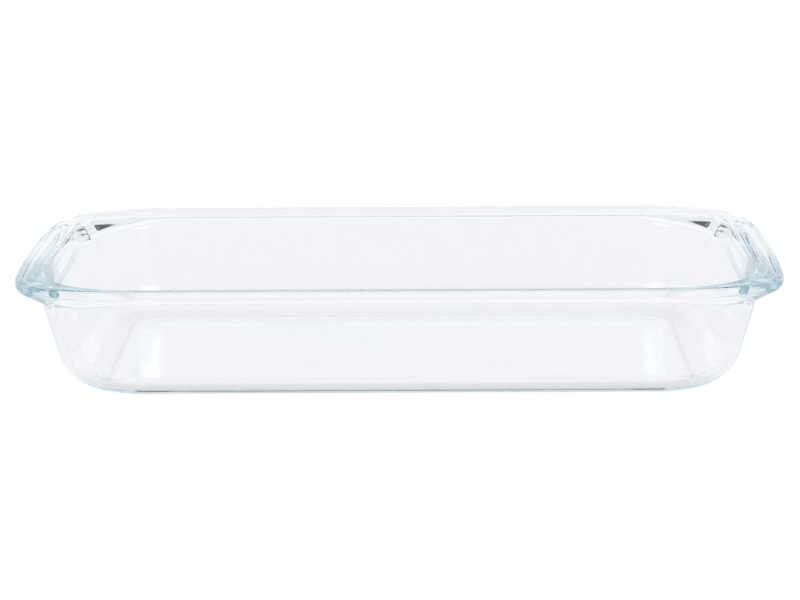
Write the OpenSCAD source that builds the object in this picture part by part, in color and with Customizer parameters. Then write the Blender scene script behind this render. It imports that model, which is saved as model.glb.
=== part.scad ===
// Rectangular roasting dish pressed from one gob of clear glass, with a narrow rim and a grip at each end.
// X runs along the dish, Y across it and Z up. The origin is on the table under the middle of the dish.

/* [Overall] */
// Length over both grips
dish_length = 400; // [390:1:440]
// Width over the long rims
dish_width = 256; // [220:1:300]
// Height from the table to the top of the rim
dish_height = 59.5; // [50:0.5:75]

/* [Basin] */
// Plan radius of the basin's corners, measured on the outer edge of the rim
ring_corner_r = 59; // [54:1:70]
// Width of the rim, from the mouth to its outer edge
ring_w = 6; // [5.5:0.1:8]
// Lean of the walls from upright, in degrees
draft = 16; // [8:0.5:20]
// Thickness of the walls, measured square to them
wall = 5; // [3.5:0.1:5.5]
// Thickness of the floor at the standing ring
floor_t = 4.5; // [3.5:0.1:6]
// Outer radius of the heel, where the walls turn into the floor
heel_r = 24; // [16:0.5:26]
// Inner radius of the heel
inner_heel_r = 16; // [12:0.5:22]

/* [Rim] */
// Height of the upright outer edge along the long sides, with its rounding
edge_h = 3.2; // [2.6:0.1:4]
// Rounding at the top of the outer edge
edge_r = 2; // [1:0.1:2.4]
// Rounding at the bottom of the outer edge
lip_r = 3; // [1.5:0.1:4]
// Rounding of the mouth, where the rim turns down into the basin
mouth_r = 2.2; // [1:0.1:3]

/* [Grips] */
// How far each grip reaches out past the rim of the basin, from where its steps begin
grip_w = 10.5; // [8:0.5:20]
// Plan radius of the corners of the grips
grip_corner_r = 57; // [50:1:64]
// How far the middle of a grip bulges past its corners
grip_bulge = 2; // [1:0.5:6]
// Fall of the underside towards the basin, in degrees
grip_fall = 27.5; // [15:0.5:32]
// Depth of the bottom of a grip's upright edge below the top of the rim
grip_edge_h = 5.2; // [4.8:0.1:6.5]
// Drop of each of the two steps on top of a grip, one at the basin's rim and one along the outer edge
step_drop = 0.7; // [0.3:0.1:0.8]
// Width of the outer step
outer_step_w = 3.6; // [3:0.1:6]
// Length of the low and thick part of a grip
grip_low_len = 208; // [192:1:216]
// Length of the slant at each end of that part, where the top comes down from the rim
shoulder_len = 4; // [2:0.5:4.5]

/* [Standing ring] */
// Width of the ring that the dish stands on
standing_w = 9; // [5:0.5:12]
// Depth of the hollow inside the standing ring
standing_h = 0.6; // [0.3:0.1:1]

/* [Hidden] */
$fn = 128;
edge_fn = 48;
glass = [0.84, 0.92, 0.93];
overrun = 1;

// The basin's corners share one centre at every height, and s is the distance out from it
ring_x = dish_length / 2 - grip_w;
basin_cx = ring_x - ring_corner_r;
basin_cy = dish_width / 2 - ring_corner_r;
lean = tan(draft);
mouth_s = ring_corner_r - ring_w;
wall_across = wall / cos(draft);
function outer_s(z) = mouth_s + wall_across - (dish_height - z) * lean;
function inner_s(z) = mouth_s - (dish_height - z) * lean;

// Tangent points of the heel and of the mouth's rounding
heel_tangent = tan((90 - draft) / 2);
heel_s = outer_s(0) - heel_r * heel_tangent;
inner_heel_s = inner_s(floor_t) - inner_heel_r * heel_tangent;
mouth_tangent = mouth_r * heel_tangent;
standing_s = heel_s - standing_w;
floor_s = min(heel_s, inner_heel_s) - standing_w / 4;

// Depth of the underside below the rim at distance d from the outer edge, where the upright is edge deep
fall = tan(grip_fall);
lip_d = lip_r * (1 - sin(grip_fall));
function under_z(d, edge) = edge + lip_r * cos(grip_fall) + (d - lip_d) * fall;

// Depth and height where that underside meets the wall along the long sides
root_depth = (under_z(0, edge_h) + (ring_w - wall_across) * fall) / (1 - lean * fall);
root_z = dish_height - root_depth;

// Outline of a grip: a corner arc at each side, and the long arc of the end that is tangent to both
grip_cx = dish_length / 2 - grip_corner_r - grip_bulge;
grip_cy = dish_width / 2 - grip_corner_r;
grip_end_r = (pow(grip_cy, 2) + grip_bulge * (2 * grip_corner_r + grip_bulge)) / (2 * grip_bulge);
grip_end_x = dish_length / 2 - grip_end_r;
grip_turn = asin(grip_cy / (grip_end_r - grip_corner_r));
low_turn = asin((grip_low_len / 2 - grip_cy) / grip_corner_r);
ring_turn = 45;
grip_reach = dish_length / 2 - basin_cx - inner_s(root_z) + overrun;

// Slice of a disc between two angles
module sector(centre, r, from, to) {
    middle = (from + to) / 2;
    span = 2 * r;
    intersection() {
        translate(centre) circle(r = r);
        polygon([
            centre,
            centre + span * [cos(from), sin(from)],
            centre + span * [cos(middle), sin(middle)],
            centre + span * [cos(to), sin(to)]
        ]);
    }
}

// Half section of a basin form: flat at z0, then the heel, then the leaning side up to z1
module half_section(z0, foot_s, radius, z1, top_s) {
    centre = [foot_s, z0 + radius];
    polygon([
        [0, z0],
        [foot_s, z0],
        centre,
        centre + radius * [cos(draft), -sin(draft)],
        [top_s, z1],
        [0, z1]
    ]);
    sector(centre, radius, -90, -draft);
}

module outer_section() {
    half_section(0, heel_s, heel_r, root_z, outer_s(root_z));
}

module inner_section() {
    half_section(floor_t, inner_heel_s, inner_heel_r, dish_height, mouth_s);
}

// Hollow of the basin, flared by the rounding of its mouth
module hollow_section() {
    lip = [mouth_s + mouth_tangent, dish_height];
    turn_in = [mouth_s, dish_height] - mouth_tangent * [sin(draft), cos(draft)];
    inner_section();
    difference() {
        polygon([[0, turn_in[1]], turn_in, lip, lip + [0, overrun], [0, dish_height + overrun]]);
        translate(lip - [0, mouth_r]) circle(r = mouth_r);
    }
}

module wall_section() {
    difference() {
        outer_section();
        inner_section();
        square([2 * floor_s, 2 * floor_t], center = true);
    }
}

module floor_section() {
    polygon([
        [0, standing_h],
        [standing_s, standing_h],
        [standing_s, 0],
        [floor_s, 0],
        [floor_s, floor_t],
        [0, floor_t]
    ]);
}

// Section of a rim, with x as the distance in from the outer edge: its top lies drop below the dish's
module rim_section(reach, drop, edge) {
    top = dish_height - drop;
    upright = dish_height - edge;
    polygon([
        [edge_r, top],
        [edge_r, top - edge_r],
        [0, top - edge_r],
        [0, upright],
        [lip_r, upright],
        [lip_d, dish_height - under_z(lip_d, edge)],
        [reach, dish_height - under_z(reach, edge)],
        [reach, top]
    ]);
    sector([edge_r, top - edge_r], edge_r, 90, 180, $fn = edge_fn);
    sector([lip_r, upright], lip_r, 180, 270 - grip_fall, $fn = edge_fn);
}

// Section of a grip's low part, with the outer step along its edge
module grip_section(reach) {
    rim_section(reach, 2 * step_drop, grip_edge_h);
    translate([outer_step_w, dish_height - 3 * step_drop]) square([reach - outer_step_w, 2 * step_drop]);
}

// Section of the rim of the basin, where it stands above a grip
module ring_section() {
    translate([mouth_s - ring_w, dish_height - 3 * step_drop]) square([2 * ring_w, 3 * step_drop]);
}

// Straight run of a section from x0 to x1, facing +Y
module run(x0, x1) {
    translate([x0, 0, 0]) rotate([90, 0, 90]) linear_extrude(x1 - x0) children();
}

// A basin section taken all round: two long runs, two end runs and four quarter turns
module round_basin() {
    for (half = [0, 180]) rotate(half) {
        translate([0, basin_cy, 0]) run(-basin_cx, basin_cx) children();
        rotate(-90) translate([0, basin_cx, 0]) run(-basin_cy, basin_cy) children();
        translate([basin_cx, basin_cy, 0]) rotate_extrude(angle = 90) children();
        translate([-basin_cx, basin_cy, 0]) rotate(90) rotate_extrude(angle = 90) children();
    }
}

// The block between the four corner centres
module basin_core(z0, z1) {
    translate([-basin_cx, -basin_cy, z0]) cube([2 * basin_cx, 2 * basin_cy, z1 - z0]);
}

module hollow() {
    round_basin() hollow_section();
    basin_core(floor_t, dish_height + overrun);
}

module floor_panel() {
    color(glass) {
        round_basin() floor_section();
        basin_core(standing_h, floor_t);
    }
}

module basin_wall() {
    color(glass) round_basin() wall_section();
}

// Long rim facing +Y, between the corner centres
module long_rim() {
    translate([0, basin_cy, 0]) run(-basin_cx, basin_cx) difference() {
        translate([ring_corner_r, 0]) mirror([1, 0]) rim_section(ring_corner_r, 0, edge_h);
        hollow_section();
        square([2 * ring_corner_r, 2 * root_z], center = true);
    }
}

// Wedge between the two lines from the end's centre through the corner centres
module end_wedge() {
    far = [grip_cx - grip_end_x, grip_cy] * 2;
    translate([grip_end_x, 0, 0]) linear_extrude(2 * dish_height)
        polygon([[0, 0], [far[0], -far[1]], far]);
}

module plate_turn(radius, from, to) {
    rotate_extrude(angle = to - from, start = from)
        translate([radius, 0]) mirror([1, 0]) children();
}

// Low part of a grip: along the end and some way round both corners
module low_plate() {
    spare = grip_turn / 4;
    intersection() {
        translate([grip_end_x, 0, 0])
            plate_turn(grip_end_r, -grip_turn - spare, grip_turn + spare, $fn = 256) grip_section(grip_reach);
        end_wedge();
    }
    for (side = [0, 1]) mirror([0, side, 0]) difference() {
        translate([grip_cx, grip_cy, 0]) plate_turn(grip_corner_r, 0, low_turn) grip_section(grip_reach);
        end_wedge();
    }
}

// Cut of the slant that leads from the rim down to the low part
module shoulder_cut() {
    rise = 2 * step_drop;
    translate([0, 0, dish_height - rise]) rotate([atan(rise / shoulder_len), 0, 0]) translate([0, -overrun, 0])
        cube([grip_corner_r + overrun, shoulder_len + 2 * overrun, 2 * rise]);
}

// Rest of the corners, up to the long sides, at the height of the rim
module corner_plates() {
    for (side = [0, 1]) mirror([0, side, 0]) {
        translate([grip_cx, grip_cy, 0]) difference() {
            plate_turn(grip_corner_r, low_turn, 90) rim_section(grip_reach, 0, edge_h);
            rotate(low_turn) shoulder_cut();
        }
        translate([0, dish_width / 2, 0]) run(basin_cx, grip_cx)
            mirror([1, 0]) rim_section(grip_reach, 0, edge_h);
    }
}

// Rim of the basin above the low part of a grip, carried past the shoulders to the middle of each corner
module end_ring() {
    translate([basin_cx, 0, 0]) rotate(-90) run(-basin_cy, basin_cy) ring_section();
    for (side = [0, 1]) mirror([0, side, 0])
        translate([basin_cx, basin_cy, 0]) rotate_extrude(angle = ring_turn) ring_section();
}

module grip() {
    difference() {
        union() {
            low_plate();
            corner_plates();
            end_ring();
        }
        hollow();
        round_basin() outer_section();
    }
}

module front_rim() {
    color(glass) mirror([0, 1, 0]) long_rim();
}

module back_rim() {
    color(glass) long_rim();
}

module left_grip() {
    color(glass) mirror([1, 0, 0]) grip();
}

module right_grip() {
    color(glass) grip();
}

floor_panel();
basin_wall();
front_rim();
back_rim();
left_grip();
right_grip();
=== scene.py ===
# Clear pressed-glass casserole dish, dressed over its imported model, on a white studio floor.
import bpy
import bmesh
from math import cos, pi, radians, sin, sqrt, tan
from mathutils import Matrix, Vector


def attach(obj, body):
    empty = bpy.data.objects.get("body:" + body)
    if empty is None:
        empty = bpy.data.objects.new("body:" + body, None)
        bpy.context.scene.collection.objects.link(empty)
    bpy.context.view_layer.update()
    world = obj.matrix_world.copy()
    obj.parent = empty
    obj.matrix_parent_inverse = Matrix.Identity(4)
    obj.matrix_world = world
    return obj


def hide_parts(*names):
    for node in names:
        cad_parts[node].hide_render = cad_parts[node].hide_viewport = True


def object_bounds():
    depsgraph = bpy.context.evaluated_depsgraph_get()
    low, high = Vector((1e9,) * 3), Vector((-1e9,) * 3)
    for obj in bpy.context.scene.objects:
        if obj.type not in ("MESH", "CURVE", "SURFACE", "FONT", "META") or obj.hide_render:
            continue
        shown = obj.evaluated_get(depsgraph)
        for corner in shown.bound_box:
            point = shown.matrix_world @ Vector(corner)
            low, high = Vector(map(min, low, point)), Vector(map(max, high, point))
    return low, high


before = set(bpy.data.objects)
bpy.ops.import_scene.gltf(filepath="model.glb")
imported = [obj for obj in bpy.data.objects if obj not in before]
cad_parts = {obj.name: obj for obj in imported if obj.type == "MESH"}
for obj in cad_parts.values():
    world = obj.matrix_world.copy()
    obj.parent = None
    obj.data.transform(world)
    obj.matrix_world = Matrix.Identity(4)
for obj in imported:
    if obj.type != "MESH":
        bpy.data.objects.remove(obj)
cadLow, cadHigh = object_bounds()
print("frame loaded:", ", ".join(sorted(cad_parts)))

# Where the photo was taken from: metres, degrees and, for the lens, millimetres
viewpoint = {
    "distance": 1.6617,
    "height": 0.3579,
    "sideways": -0.0004,
    "turn": -0.641,
    "pitch": 11.175,
    "roll": -0.407,
    "lens": 141.24,
}


def placeCamera(v):
    turn = radians(v["turn"])
    data = bpy.data.cameras.new("camera")
    data.lens = v["lens"]
    camera = bpy.data.objects.new("camera", data)
    bpy.context.scene.collection.objects.link(camera)
    place = Vector((v["sideways"], -v["distance"], 0))
    place.rotate(Matrix.Rotation(-turn, 3, "Z"))
    place.z = v["height"]
    tilt = Matrix.Rotation(-turn, 4, "Z") @ Matrix.Rotation(pi / 2 - radians(v["pitch"]), 4, "X")
    camera.matrix_world = Matrix.Translation(place) @ tilt @ Matrix.Rotation(radians(v["roll"]), 4, "Z")
    bpy.context.scene.camera = camera


placeCamera(viewpoint)
print("camera placed")

# The dish, in metres and degrees; its length, width and height come from the frame
dish = {
    "length": 2 * cadHigh.x,
    "width": 2 * cadHigh.y,
    "height": cadHigh.z,
    "gripWidth": 0.0105,      # how far a grip reaches past the rim of the basin
    "ringCorner": 0.059,      # plan radius of that rim's corners
    "ringWidth": 0.006,
    "draft": 16,              # how far the walls lean out
    "wall": 0.005,
    "floor": 0.0045,
    "heel": 0.024,
    "innerHeel": 0.016,
    "edgeHeight": 0.0032,     # bottom of a long rim's upright edge, below its top
    "edgeRound": 0.002,
    "lipRound": 0.003,
    "mouthRound": 0.0022,
    "rootRound": 0.003,       # how far the rounding between wall and underside runs along each
    "rootShare": 0.8,         # the most of a narrow underside that this rounding takes
    "gripCorner": 0.057,
    "gripBulge": 0.002,
    "gripFall": 27.5,
    "gripEdge": 0.0052,       # bottom of a grip's upright edge, below the top of the rim
    "stepDrop": 0.0007,
    "stepSoft": 0.0008,
    "outerStepWidth": 0.0036,
    "lowLength": 0.208,       # the part of a grip where the steps lie low and the edge is thick
    "shoulder": 0.010,
    "standingWidth": 0.009,
    "standingHollow": 0.0006,
    "hollowSoft": 0.012,
    # Rows of points along the section: how many in each rounding, slope or step
    "hollowRows": 10,
    "heelRows": 24,
    "rootRows": 8,
    "roundRows": 12,
    "stepRows": 6,
    # How far beside a rounding the next row lies, which keeps the flats flat in the shading
    "flatGap": 0.0008,
    "ringGap": 0.0006,
    "edgeGap": 0.0003,
    "topGap": 0.0002,
    "mouthGap": 0.0004,
    "innerWallGap": 0.0006,
    "innerFloorGap": 0.004,
    "undersideShares": (0.1, 0.9),      # where two rows lie along the underside
    # The rows on top gather at the steps once a grip reaches past the rim by the first, fully so by both
    "gatherStart": 0.002,
    "gatherRise": 0.003,
    "rowGap": 0.00004,        # keeps those rows from crossing where the rim is narrow
    # Sections round the plan: along half a long side, round the corner, and along half a grip
    # Those round the corner are given as from, to, both in radians, and how many
    "longSections": 10,
    "cornerSections": ((pi / 2, 0.75, 30), (0.73, 0.42, 18), (0.40, 0, 14)),
    "gripSections": 8,
    "mergeGap": 0.000001,
}


def spaced(first, last, count):
    return [first + (last - first) * i / count for i in range(count + 1)]


def eased(t):
    t = min(max(t, 0.0), 1.0)
    return t * t * (3 - 2 * t)


def corePoint(d):
    # Centre of the basin's corner in the +X +Y quarter
    return Vector((d["length"] / 2 - d["gripWidth"] - d["ringCorner"], d["width"] / 2 - d["ringCorner"]))


def footRadius(d):
    # Plan radius of the foot's corners, where the outer heel meets the table
    draft = radians(d["draft"])
    mouth = d["ringCorner"] - d["ringWidth"]
    across = d["wall"] / cos(draft)
    return mouth + across - d["height"] * tan(draft) - d["heel"] * tan((pi / 2 - draft) / 2)


def gripReach(d, core, out):
    # Distance from a point of the core, along a direction, to the outer edge of the rim and grips
    corner = d["gripCorner"]
    bulge = d["gripBulge"]
    centre = Vector((d["length"] / 2 - corner - bulge, d["width"] / 2 - corner))
    endRadius = (centre.y ** 2 + bulge * (2 * corner + bulge)) / (2 * bulge)
    endCentre = Vector((d["length"] / 2 - endRadius, 0))

    def toCircle(middle, radius):
        away = core - middle
        along = away.dot(out)
        return -along + sqrt(max(along * along - away.length_squared + radius * radius, 0))

    end = toCircle(endCentre, endRadius)
    hit = core + out * end - endCentre
    if abs(hit.y) <= (endCentre - centre).length and hit.y / hit.x <= centre.y / (centre.x - endCentre.x):
        return end
    arc = toCircle(centre, corner)
    hit = core + out * arc - centre
    if hit.x >= 0:
        return arc
    return (d["width"] / 2 - core.y) / out.y


def sectionPoints(d, reach, low):
    # Section of the glass, from under the floor, over the rim, onto the floor
    # Each point is (distance out from the core, height); low grows from 0 to 1 over the shoulder of a grip
    top = d["height"]
    draft = radians(d["draft"])
    fall = radians(d["gripFall"])
    lean = tan(draft)
    turnIn = tan((pi / 2 - draft) / 2)
    mouth = d["ringCorner"] - d["ringWidth"]
    across = d["wall"] / cos(draft)
    edge = d["edgeHeight"] + (d["gripEdge"] - d["edgeHeight"]) * low
    drop = d["stepDrop"] * low
    gap = d["flatGap"]

    def outer(z):
        return mouth + across - (top - z) * lean

    def inner(z):
        return mouth - (top - z) * lean

    # Hollow and standing ring
    foot = footRadius(d)
    ring = foot - d["standingWidth"]
    soft = d["hollowSoft"]
    rise = spaced(0, 1, d["hollowRows"])
    pts = [(ring - soft * (1 - t), d["standingHollow"] * (1 - eased(t))) for t in rise]
    pts += [(ring + d["ringGap"], 0), (foot - gap, 0)]
    # Heel and wall
    turns = spaced(-pi / 2, -draft, d["heelRows"])
    pts += [(foot + d["heel"] * cos(a), d["heel"] * (1 + sin(a))) for a in turns]
    z = d["heel"] * (1 - sin(draft)) + gap
    pts.append((outer(z), z))
    # Root, rounded between the wall and the underside
    lipIn = d["lipRound"] * (1 - sin(fall))
    lipDepth = edge + d["lipRound"] * cos(fall)
    slope = tan(fall)
    start = mouth + across - lean * (lipDepth - lipIn * slope)
    rootIn = (reach - start) / (1 - lean * slope)
    root = Vector((reach - rootIn, top - lipDepth - (rootIn - lipIn) * slope))
    down = Vector((-sin(draft), -cos(draft)))
    out = Vector((cos(fall), sin(fall)))
    span = min(d["rootRound"], d["rootShare"] * (rootIn - lipIn) / cos(fall))
    wallEnd = root + down * span
    underStart = root + out * span
    pts.append(tuple(wallEnd + down * gap))
    for t in spaced(0, 1, d["rootRows"]):
        pts.append(tuple(wallEnd * (1 - t) ** 2 + root * 2 * t * (1 - t) + underStart * t * t))
    lip = Vector((reach - lipIn, top - lipDepth))
    pts += [tuple(underStart + (lip - underStart) * share) for share in d["undersideShares"]]
    # Lip, upright edge and the rounding over it
    r = d["lipRound"]
    turns = spaced(pi / 2 - fall, 0, d["roundRows"])
    pts += [(reach - r * (1 - cos(a)), top - edge - r * sin(a)) for a in turns]
    pts.append((reach, top - edge + d["edgeGap"]))
    r = d["edgeRound"]
    turns = spaced(0, pi / 2, d["roundRows"])
    pts += [(reach - r * (1 - cos(a)), top - 2 * drop - r * (1 - sin(a))) for a in turns]
    # Top, with rows close together where the steps of the grips are
    mouthTop = mouth + d["mouthRound"] * turnIn
    topOut = reach - r - d["topGap"]
    topIn = mouthTop + d["mouthGap"]
    soft = d["stepSoft"]
    rise = spaced(0, 1, d["stepRows"])
    rows = [(topOut, 2)]
    rows += [(reach - d["outerStepWidth"] - soft * (t - 0.5), 2 - eased(t)) for t in rise]
    rows += [(d["ringCorner"] - soft * (t - 0.5), 1 - eased(t)) for t in rise]
    rows += [(topIn, 0)]
    even = spaced(topOut, topIn, len(rows) - 1)
    full = eased((reach - d["ringCorner"] - d["gatherStart"]) / d["gatherRise"])
    for i, (s, depth) in enumerate(rows):
        s = min(s, topOut - d["rowGap"] * i)
        pts.append((even[i] + (s - even[i]) * full, top - drop * depth))
    # Mouth, inner wall, inner heel and floor
    r = d["mouthRound"]
    turns = spaced(0, pi / 2 - draft, d["roundRows"])
    pts += [(mouthTop - r * sin(a), top - r * (1 - cos(a))) for a in turns]
    z = top - r * (1 - sin(draft)) - d["innerWallGap"]
    pts.append((inner(z), z))
    r = d["innerHeel"]
    innerFoot = inner(d["floor"]) - r * turnIn
    z = d["floor"] + r * (1 - sin(draft)) + gap
    pts.append((inner(z), z))
    turns = spaced(-draft, -pi / 2, d["heelRows"])
    pts += [(innerFoot + r * cos(a), d["floor"] + r * (1 + sin(a))) for a in turns]
    pts += [(innerFoot - away, d["floor"]) for away in (gap, d["innerFloorGap"])]
    return pts


def carrySection(bm, d, core, section):
    # The section runs to the middle of the back, turns round the corner, and runs to the middle of the grip
    def carry(geom, angle=0.0, move=(0, 0, 0), steps=1):
        moved = bmesh.ops.spin(bm, geom=geom, cent=(*core, 0), axis=(0, 0, -1),
                               angle=angle, dvec=move, steps=steps)
        return moved["geom_last"]

    carry(section, move=(-core.x / d["longSections"], 0, 0), steps=d["longSections"])
    end = section
    turns = [turn for stretch in d["cornerSections"] for turn in spaced(*stretch)]
    for before, after in zip(turns, turns[1:]):
        end = carry(end, angle=before - after)
    carry(end, move=(0, -core.y / d["gripSections"], 0), steps=d["gripSections"])


def openGrips(bm, d, core, row):
    # Each section takes the form that the glass has at its place, so the rim opens out to the grips
    sections = {}
    for v in bm.verts:
        x, y = v.co.x, v.co.y
        middle = Vector((min(x, core.x), min(y, core.y)))
        out = (Vector((x, y)) - middle).normalized()
        key = (round(middle.x, 6), round(middle.y, 6), round(out.x, 5))
        if key not in sections:
            reach = gripReach(d, middle, out)
            side = middle.y + reach * out.y
            low = eased((d["lowLength"] / 2 + d["shoulder"] / 2 - side) / d["shoulder"])
            sections[key] = sectionPoints(d, reach, low)
        s, z = sections[key][v[row]]
        v.co = (*(middle + out * s), z)


def pressDish(d):
    core = corePoint(d)
    bm = bmesh.new()
    row = bm.verts.layers.int.new("row")
    line = []
    for i, (s, z) in enumerate(sectionPoints(d, d["ringCorner"], 0)):
        v = bm.verts.new((core.x, core.y + s, z))
        v[row] = i
        line.append(v)
    carrySection(bm, d, core, line + [bm.edges.new(pair) for pair in zip(line, line[1:])])
    openGrips(bm, d, core, row)
    # One quarter is made; mirrored both ways it is the whole dish
    for axis in ("X", "Y"):
        quarter = bm.verts[:] + bm.edges[:] + bm.faces[:]
        bmesh.ops.mirror(bm, geom=quarter, axis=axis, merge_dist=d["mergeGap"])
    bmesh.ops.remove_doubles(bm, verts=bm.verts[:], dist=d["mergeGap"])
    bmesh.ops.holes_fill(bm, edges=[e for e in bm.edges if e.is_boundary], sides=0)
    bmesh.ops.recalc_face_normals(bm, faces=bm.faces[:])
    for f in bm.faces:
        f.smooth = True
    mesh = bpy.data.meshes.new("pressed_glass")
    bm.to_mesh(mesh)
    bm.free()
    piece = bpy.data.objects.new("pressed_glass", mesh)
    bpy.context.scene.collection.objects.link(piece)
    return piece


# Clear glass with a faint blue-green body colour that only shows where light runs along a thick stretch
glassLook = {
    "ior": 1.48,
    "roughness": 0.0,
    "tint": (0.05, 0.83, 0.99),
    "density": 1.1,
    # Very shallow waves left by the press
    "waveScale": 14,
    "waveDetail": 1,
    "waveStrength": 0.006,
    "waveDepth": 0.001,
}


def clearGlass(look):
    material = bpy.data.materials.new("clear_glass")
    material.use_nodes = True
    nodes, links = material.node_tree.nodes, material.node_tree.links
    shader = nodes["Principled BSDF"]
    shader.inputs["Base Color"].default_value = (1, 1, 1, 1)
    shader.inputs["Roughness"].default_value = look["roughness"]
    shader.inputs["IOR"].default_value = look["ior"]
    shader.inputs["Transmission Weight"].default_value = 1
    absorb = nodes.new("ShaderNodeVolumeAbsorption")
    absorb.inputs["Color"].default_value = (*look["tint"], 1)
    absorb.inputs["Density"].default_value = look["density"]
    links.new(absorb.outputs[0], nodes["Material Output"].inputs["Volume"])
    # Fire-polished skin
    place = nodes.new("ShaderNodeTexCoord")
    wave = nodes.new("ShaderNodeTexNoise")
    wave.inputs["Scale"].default_value = look["waveScale"]
    wave.inputs["Detail"].default_value = look["waveDetail"]
    links.new(place.outputs["Object"], wave.inputs["Vector"])
    bump = nodes.new("ShaderNodeBump")
    bump.inputs["Strength"].default_value = look["waveStrength"]
    bump.inputs["Distance"].default_value = look["waveDepth"]
    links.new(wave.outputs["Fac"], bump.inputs["Height"])
    links.new(bump.outputs["Normal"], shader.inputs["Normal"])
    return material


glass = pressDish(dish)
glass.data.materials.append(clearGlass(glassLook))
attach(glass, "root")
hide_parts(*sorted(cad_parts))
print("glass pressed:", len(glass.data.vertices), "points")

# White studio: a paper floor, a sky with a dark band high up, and two soft boxes in front
# The camera sees plain white; the glass sees the paper a little greyer, with painted shade and light by
# place
studio = {
    "floorRadius": 12,
    "floorSides": 64,
    "floorGap": 0.0003,       # keeps the paper off the foot's own face
    "paperColour": (0.16, 0.16, 0.16),
    "seenGlow": (0.92, 0.92, 0.92),
    "roomGlow": (0.84, 0.84, 0.87),
    # Painted shade of the paper by distance out from the foot: painted light under the dish, a painted
    # contact shadow where the foot touches
    "paintedPaperLevels": ((-0.016, 1.0), (-0.004, 0.97), (-0.0012, 0.74), (0.001, 0.90),
                    (0.010, 0.90), (0.025, 0.95), (0.09, 0.90)),
    "paintedFrontShadow": 0.86,       # how bright the paper is painted in front of the dish: a painted shadow of its front wall
    "frontReach": 0.012,      # how far before the foot that painted shadow is at its full depth
    "seenSky": (1, 1, 1),
    "skyColour": (0.96, 0.965, 0.99),
    # Brightness of the sky by height, from 0 at the horizon to 1 overhead
    "skyLevels": ((0.25, 1.0), (0.60, 0.90), (0.665, 0.58), (0.715, 0.06), (0.755, 0.06), (0.80, 0.87)),
    # Two soft boxes, one on each side: where they hang, how bright, and how wide in degrees from the middle
    "boxPlace": (0.50, -0.62, 0.60),
    "boxGlow": 2.4,
    "boxReach": (18, 8),
}


def addMath(nodes, links, operation, *sources):
    node = nodes.new("ShaderNodeMath")
    node.operation = operation
    for source, socket in zip(sources, node.inputs):
        links.new(source, socket)
    return node.outputs[0]


def addVectorMath(nodes, links, operation, source, fixed=(0, 0, 0)):
    node = nodes.new("ShaderNodeVectorMath")
    node.operation = operation
    links.new(source, node.inputs[0])
    node.inputs[1].default_value = fixed
    return node.outputs["Value" if operation in ("LENGTH", "DOT_PRODUCT") else "Vector"]


def addMapRange(nodes, links, source, span, levels=(0, 1), kind="LINEAR"):
    node = nodes.new("ShaderNodeMapRange")
    node.interpolation_type = kind
    for name, value in zip(("From Min", "From Max", "To Min", "To Max"), (*span, *levels)):
        node.inputs[name].default_value = value
    links.new(source, node.inputs["Value"])
    return node.outputs[0]


def addRamp(nodes, links, source, levels, start=0):
    # Brightness that eases through the levels, each given as (place counted from start, brightness)
    first, last = levels[0][0], levels[-1][0]
    ramp = nodes.new("ShaderNodeValToRGB")
    ramp.color_ramp.interpolation = "EASE"
    while len(ramp.color_ramp.elements) < len(levels):
        ramp.color_ramp.elements.new(1)
    for stop, (place, level) in zip(ramp.color_ramp.elements, levels):
        stop.position = (place - first) / (last - first)
        stop.color = (level, level, level, 1)
    links.new(addMapRange(nodes, links, source, (start + first, start + last)), ramp.inputs["Fac"])
    return ramp.outputs[0]


def addCameraPick(nodes, links, seen, room):
    # One shader for what the camera sees itself, the other for all other rays
    path = nodes.new("ShaderNodeLightPath")
    pick = nodes.new("ShaderNodeMixShader")
    links.new(path.outputs["Is Camera Ray"], pick.inputs[0])
    links.new(room.outputs[0], pick.inputs[1])
    links.new(seen.outputs[0], pick.inputs[2])
    return pick.outputs[0]


def paintedPaperShade(nodes, links, s, d):
    # Painted light and shadow on the paper by its distance from the edge of the foot, a rounded rectangle,
    # times a painted shadow in front of the dish
    core = corePoint(d)
    foot = footRadius(d)
    place = nodes.new("ShaderNodeTexCoord")
    folded = addVectorMath(nodes, links, "ABSOLUTE", place.outputs["Object"])
    shifted = addVectorMath(nodes, links, "SUBTRACT", folded, (core.x, core.y, 0))
    away = addVectorMath(nodes, links, "LENGTH", addVectorMath(nodes, links, "MAXIMUM", shifted))
    # Painted contact shadow at the foot's edge and painted light under the dish
    lit = addRamp(nodes, links, away, s["paintedPaperLevels"], start=foot)
    split = nodes.new("ShaderNodeSeparateXYZ")
    links.new(place.outputs["Object"], split.inputs[0])
    edge = (-core.y - foot - s["frontReach"], -core.y)
    # Painted shadow on the paper in front of the dish
    front = addMapRange(nodes, links, split.outputs["Y"], edge, (s["paintedFrontShadow"], 1), "SMOOTHSTEP")
    return addMath(nodes, links, "MULTIPLY", lit, front)


def whitePaper(s, d):
    material = bpy.data.materials.new("white_paper")
    material.use_nodes = True
    nodes, links = material.node_tree.nodes, material.node_tree.links
    nodes.clear()
    seen = nodes.new("ShaderNodeEmission")
    seen.inputs["Color"].default_value = (*s["seenGlow"], 1)
    room = nodes.new("ShaderNodeEmission")
    room.inputs["Color"].default_value = (*s["roomGlow"], 1)
    # The paper's painted shade and light reach the glass through this glow's strength
    links.new(paintedPaperShade(nodes, links, s, d), room.inputs["Strength"])
    paper = nodes.new("ShaderNodeBsdfDiffuse")
    paper.inputs["Color"].default_value = (*s["paperColour"], 1)
    both = nodes.new("ShaderNodeAddShader")
    links.new(addCameraPick(nodes, links, seen, room), both.inputs[0])
    links.new(paper.outputs[0], both.inputs[1])
    end = nodes.new("ShaderNodeOutputMaterial")
    links.new(both.outputs[0], end.inputs["Surface"])
    return material


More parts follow.
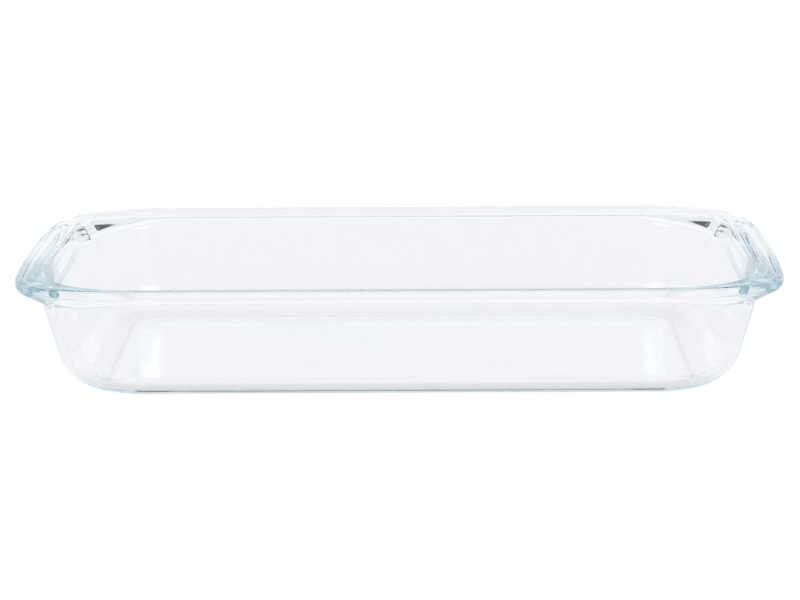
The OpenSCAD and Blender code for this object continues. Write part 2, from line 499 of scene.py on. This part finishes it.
def whiteFloor(s, d):
    bm = bmesh.new()
    bmesh.ops.create_circle(bm, cap_ends=True, radius=s["floorRadius"], segments=s["floorSides"])
    bmesh.ops.translate(bm, verts=bm.verts[:], vec=(0, 0, -s["floorGap"]))
    mesh = bpy.data.meshes.new("floor")
    bm.to_mesh(mesh)
    bm.free()
    floor = bpy.data.objects.new("floor", mesh)
    bpy.context.scene.collection.objects.link(floor)
    floor.data.materials.append(whitePaper(s, d))


def studioSky(s):
    world = bpy.data.worlds.new("studio")
    bpy.context.scene.world = world
    world.use_nodes = True
    nodes, links = world.node_tree.nodes, world.node_tree.links
    nodes.clear()
    place = nodes.new("ShaderNodeTexCoord")
    split = nodes.new("ShaderNodeSeparateXYZ")
    links.new(place.outputs["Generated"], split.inputs[0])
    rise = addRamp(nodes, links, split.outputs["Z"], s["skyLevels"])
    # One soft box is drawn, and folding X over gives the other
    folded = nodes.new("ShaderNodeCombineXYZ")
    links.new(addMath(nodes, links, "ABSOLUTE", split.outputs["X"]), folded.inputs["X"])
    links.new(split.outputs["Y"], folded.inputs["Y"])
    links.new(split.outputs["Z"], folded.inputs["Z"])
    near = addVectorMath(nodes, links, "DOT_PRODUCT", folded.outputs[0], Vector(s["boxPlace"]).normalized())
    reach = [cos(radians(angle)) for angle in s["boxReach"]]
    box = addMapRange(nodes, links, near, reach, (0, s["boxGlow"]), "SMOOTHSTEP")
    room = nodes.new("ShaderNodeBackground")
    room.inputs["Color"].default_value = (*s["skyColour"], 1)
    links.new(addMath(nodes, links, "ADD", rise, box), room.inputs["Strength"])
    seen = nodes.new("ShaderNodeBackground")
    seen.inputs["Color"].default_value = (*s["seenSky"], 1)
    end = nodes.new("ShaderNodeOutputWorld")
    links.new(addCameraPick(nodes, links, seen, room), end.inputs["Surface"])


whiteFloor(studio, dish)
studioSky(studio)
print("studio lit")

# Light crosses many faces of glass before it leaves the dish
lightBounces = 48
scene = bpy.context.scene
scene.view_settings.view_transform = "Standard"
scene.cycles.max_bounces = lightBounces
scene.cycles.transmission_bounces = lightBounces
scene.cycles.glossy_bounces = lightBounces
